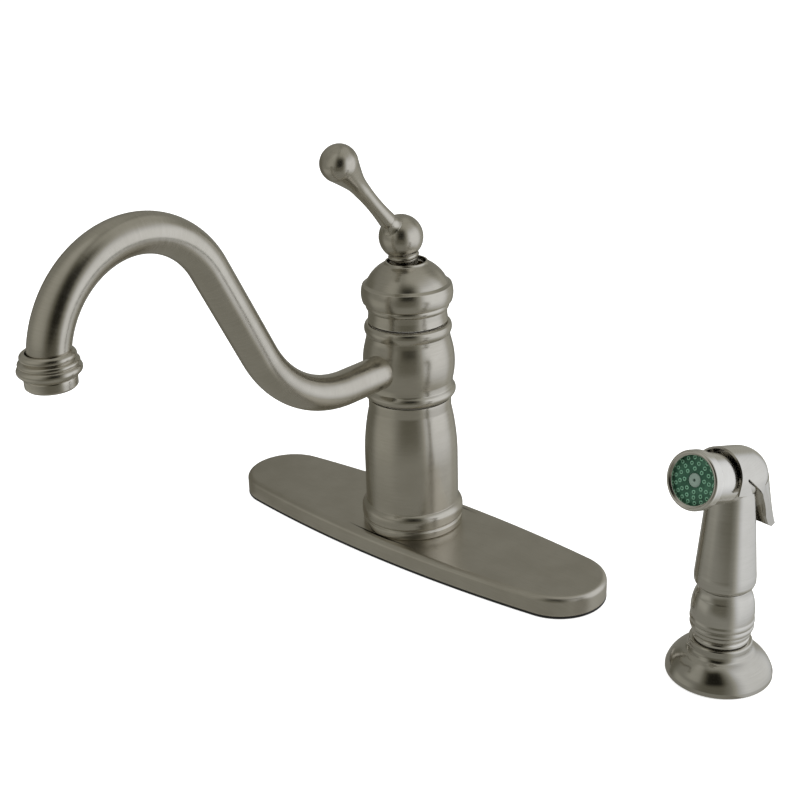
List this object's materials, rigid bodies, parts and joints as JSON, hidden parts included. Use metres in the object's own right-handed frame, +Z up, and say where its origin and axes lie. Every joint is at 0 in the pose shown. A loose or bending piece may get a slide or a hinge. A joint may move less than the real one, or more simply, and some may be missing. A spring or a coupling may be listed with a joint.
{
  "type": "side spray kitchen faucet",
  "caption": "Single lever kitchen faucet with a swan neck swivel spout, a boat shaped deck plate and a separate pull up side spray in its own holder.",
  "frame": {"origin": "on the body's axis, in the plane of the sink deck that the gaskets rest on", "axes": "+X along the deck plate towards the side spray, -Y the way the spout points at rest, +Z up"},
  "size_m": [0.3627, 0.277, 0.2966],
  "materials": {
    "brushed_nickel": "warm satin nickel plating on brass",
    "plated_plastic": "satin nickel coating on moulded plastic",
    "brass": "plain machined brass",
    "steel": "plain stainless steel",
    "black_rubber": "matt black rubber",
    "white_plastic": "moulded acetal",
    "ceramic": "ground ceramic",
    "green_plastic": "deep green moulded plastic",
    "pale_plastic": "pale grey green moulded plastic"
  },
  "bodies": {
    "base": {"deck_gasket": "black_rubber", "deck_plate": "brushed_nickel", "column": "brushed_nickel", "valve_body": "brass", "mounting_shank": "brass", "clamp_washer": "steel", "mounting_nut": "brass", "hub_slip_rings": "white_plastic", "hub_o_rings": "black_rubber", "retaining_sleeve": "brushed_nickel", "cartridge_body": "white_plastic", "fixed_disc": "ceramic", "port_seals": "black_rubber", "cartridge_nut": "brass", "dome_cap": "brushed_nickel", "diverter_body": "white_plastic", "holder_gasket": "black_rubber", "spray_holder": "plated_plastic", "holder_shank": "white_plastic", "holder_nut": "white_plastic", "holder_washer": "steel"},
    "spout": {"spout_hub": "brushed_nickel", "spout_tube": "brushed_nickel", "tip_collar": "brushed_nickel", "aerator_washer": "black_rubber", "aerator_insert": "white_plastic", "aerator_screen": "steel", "aerator_housing": "brushed_nickel"},
    "rotor": {"cartridge_rotor": "white_plastic", "tilt_pin": "steel"},
    "lever": {"lever_stem": "steel", "handle_hub": "brushed_nickel", "lever_arm": "brushed_nickel", "set_screw": "steel"},
    "disc": {"disc_carrier": "white_plastic", "moving_disc": "ceramic"},
    "diverter": {"diverter_piston": "white_plastic", "diverter_cup": "black_rubber"},
    "hose_end": {"hose_connector": "brass", "connector_seal": "black_rubber"},
    "sprayer": {"grip_collar": "plated_plastic", "spray_body": "plated_plastic", "nozzle_ring": "plated_plastic", "spray_face": "green_plastic", "face_button": "pale_plastic", "stream_plate": "white_plastic", "valve_seat": "black_rubber", "stem_seal": "black_rubber"},
    "trigger": {"trigger": "plated_plastic"},
    "plunger": {"plunger": "white_plastic", "plunger_spring": "steel"}
  },
  "joints": [
    {"name": "spout_swivel", "type": "hinge", "parent": "base", "child": "spout", "pos_m": [0, 0, 0.1117], "axis": [0, 0, 1], "continuous": true},
    {"name": "handle_turn", "type": "hinge", "parent": "base", "child": "rotor", "pos_m": [0, 0, 0.16], "axis": [0, 0, 1], "range_deg": [-45, 45]},
    {"name": "handle_tilt", "type": "hinge", "parent": "rotor", "child": "lever", "pos_m": [0, 0, 0.16], "axis": [-1, 0, 0], "range_deg": [0, 22]},
    {"name": "disc_slide", "type": "slide", "parent": "rotor", "child": "disc", "axis": [0, -1, 0], "range_m": [0, 0.0092]},
    {"name": "diverter_shift", "type": "slide", "parent": "base", "child": "diverter", "axis": [0, 1, 0], "range_m": [0, 0.003], "stiffness_N_per_m": 60},
    {"name": "spray_lift", "type": "slide", "parent": "base", "child": "hose_end", "axis": [0, 0, 1], "range_m": [0, 0.03]},
    {"name": "spray_turn", "type": "hinge", "parent": "hose_end", "child": "sprayer", "pos_m": [0.2069, -0.0096, 0.05], "axis": [0, 0, 1], "continuous": true},
    {"name": "trigger_squeeze", "type": "hinge", "parent": "sprayer", "child": "trigger", "pos_m": [0.2069, -0.0096, 0.113], "axis": [-0.9903, 0.1392, 0], "range_deg": [0, 7], "stiffness_Nm_per_rad": 0.5},
    {"name": "plunger_press", "type": "slide", "parent": "sprayer", "child": "plunger", "axis": [0, 0, -1], "range_m": [0, 0.0007], "deforming": ["plunger_spring"]}
  ],
  "couplings": [
    {"joint": "disc_slide", "follows": "handle_tilt", "m_per_rad": 0.0228},
    {"joint": "plunger_press", "follows": "trigger_squeeze", "m_per_rad": 0.0055}
  ]
}
